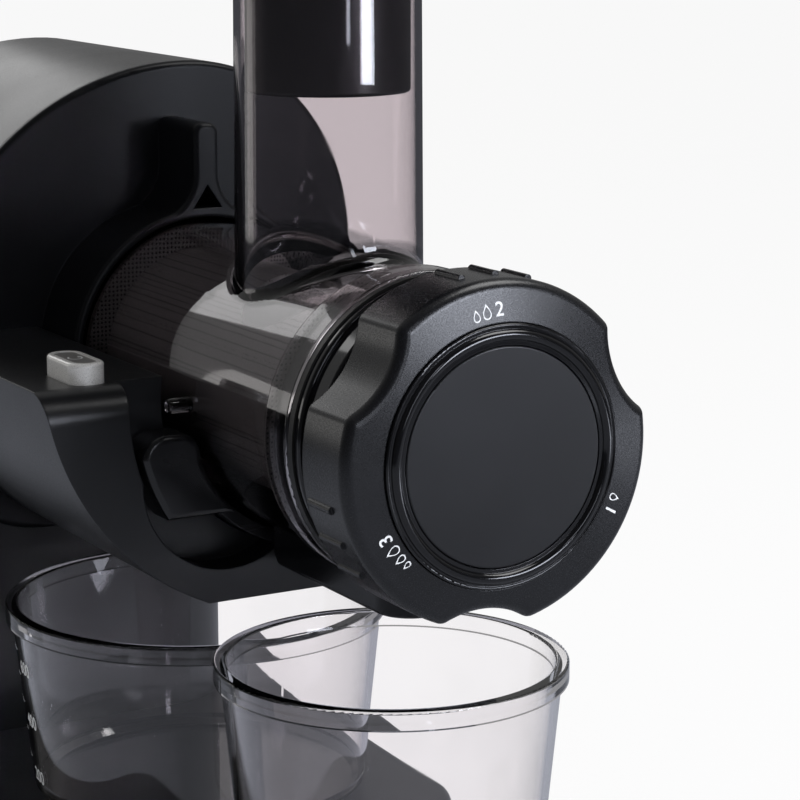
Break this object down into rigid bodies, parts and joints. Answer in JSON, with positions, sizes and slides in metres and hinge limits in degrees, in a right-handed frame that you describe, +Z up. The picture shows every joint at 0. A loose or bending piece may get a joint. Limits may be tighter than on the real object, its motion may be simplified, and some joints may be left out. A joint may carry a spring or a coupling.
{
  "type": "slow juicer",
  "caption": "Horizontal slow juicer: rounded motor head on a foot, clear drum with upright feed chute, lobed pulp dial at its end, juice and pulp cups below.",
  "frame": {"origin": "centre of the bounding box on the table plane", "axes": "+X along the drum towards the dial, -Y the user's side with the button, +Z up"},
  "size_m": [0.375, 0.17, 0.368],
  "materials": {
    "shell_plastic": "satin moulded plastic",
    "base_plastic": "fine matt texture",
    "black_gloss": "polished",
    "dial_plastic": "fine sparkle grain",
    "smoke_clear": "smoked clear",
    "cup_clear": "clear",
    "pusher_plastic": "satin",
    "auger_plastic": "semi-gloss",
    "button_silver": "satin silver",
    "button_inlay": "semi-gloss",
    "seal_rubber": "soft matt",
    "board_green": "solder mask",
    "switch_black": "plain",
    "steel": "plain",
    "motor_steel": "zinc plated",
    "magnet": "sintered",
    "bronze": "sintered bronze",
    "gear_nylon": "natural nylon"
  },
  "bodies": {
    "base": {"main_housing": "shell_plastic", "front_cover": "shell_plastic", "drum_cradle": "shell_plastic", "base_foot": "shell_plastic", "base_cover": "base_plastic", "switch_frame": "base_plastic", "power_inlet": "base_plastic", "pulp_spout": "black_gloss", "end_cap": "black_gloss", "juice_spout": "black_gloss", "juicing_drum": "smoke_clear", "feed_tray": "smoke_clear", "juicing_screen": "auger_plastic", "rubber_feet": "seal_rubber", "shaft_seal": "seal_rubber", "cap_seal": "seal_rubber", "cover_seal": "seal_rubber", "button_dome": "seal_rubber", "button_board": "board_green", "control_board": "board_green", "button_switch": "switch_black", "base_screws": "steel", "post_screws_front": "steel", "post_screws_rear": "steel", "cover_screws": "steel", "gear_plate_front": "steel", "gear_plate_rear": "steel", "plate_posts": "steel", "layshaft_pin": "steel", "motor_can": "motor_steel", "motor_bell": "motor_steel", "motor_magnets": "magnet", "bearing_front": "bronze", "bearing_rear": "bronze", "motor_bush_front": "bronze", "motor_bush_rear": "bronze"},
    "drive": {"auger": "auger_plastic", "output_shaft": "steel", "output_gear": "gear_nylon"},
    "layshaft": {"compound_gear": "gear_nylon"},
    "motor": {"motor_rotor": "motor_steel", "motor_pinion": "steel", "cooling_fan": "gear_nylon"},
    "dial": {"pulp_dial": "dial_plastic", "dial_trim": "black_gloss", "dial_disc": "dial_plastic"},
    "cone": {"pressure_cone": "auger_plastic"},
    "gate": {"juice_gate": "black_gloss"},
    "button": {"run_button": "button_silver", "button_inlay": "button_inlay"},
    "rocker": {"power_rocker": "black_gloss"},
    "pusher": {"food_pusher": "pusher_plastic", "pusher_lid": "pusher_plastic"},
    "juice_cup": {"juice_cup": "cup_clear"},
    "pulp_cup": {"pulp_cup": "cup_clear"}
  },
  "joints": [
    {"name": "auger_spin", "type": "hinge", "parent": "base", "child": "drive", "pos_m": [0, 0.01, 0.168], "axis": [1, 0, 0], "continuous": true},
    {"name": "layshaft_spin", "type": "hinge", "parent": "base", "child": "layshaft", "pos_m": [0, -0.0311, 0.183], "axis": [1, 0, 0], "continuous": true},
    {"name": "motor_spin", "type": "hinge", "parent": "base", "child": "motor", "pos_m": [0, -0.0311, 0.147], "axis": [1, 0, 0], "continuous": true},
    {"name": "dial_turn", "type": "hinge", "parent": "base", "child": "dial", "pos_m": [0, 0.01, 0.168], "axis": [1, 0, 0], "range_deg": [-120, 120]},
    {"name": "cone_feed", "type": "slide", "parent": "base", "child": "cone", "axis": [1, 0, 0], "range_m": [-0.0021, 0.0021]},
    {"name": "gate_turn", "type": "hinge", "parent": "base", "child": "gate", "pos_m": [0, 0.01, 0.168], "axis": [1, 0, 0], "range_deg": [0, 16]},
    {"name": "button_press", "type": "slide", "parent": "base", "child": "button", "axis": [0, 0, -1], "range_m": [0, 0.002], "stiffness_N_per_m": 400, "deforming": ["button_dome"]},
    {"name": "rocker_tip", "type": "hinge", "parent": "base", "child": "rocker", "pos_m": [-0.179, -0.022, 0.046], "axis": [0, 1, 0], "range_deg": [0, 14]},
    {"name": "pusher_lift", "type": "slide", "parent": "base", "child": "pusher", "axis": [0, 0, 1], "range_m": [0, 0.11]},
    {"name": "juice_cup_out", "type": "slide", "parent": "base", "child": "juice_cup", "axis": [0, -1, 0], "range_m": [0, 0.16]},
    {"name": "pulp_cup_out", "type": "slide", "parent": "base", "child": "pulp_cup", "axis": [1, 0, 0], "range_m": [0, 0.14]}
  ],
  "couplings": [
    {"joint": "layshaft_spin", "follows": "auger_spin", "ratio": -4},
    {"joint": "motor_spin", "follows": "auger_spin", "ratio": 20},
    {"joint": "cone_feed", "follows": "dial_turn", "m_per_rad": 0.00095}
  ]
}
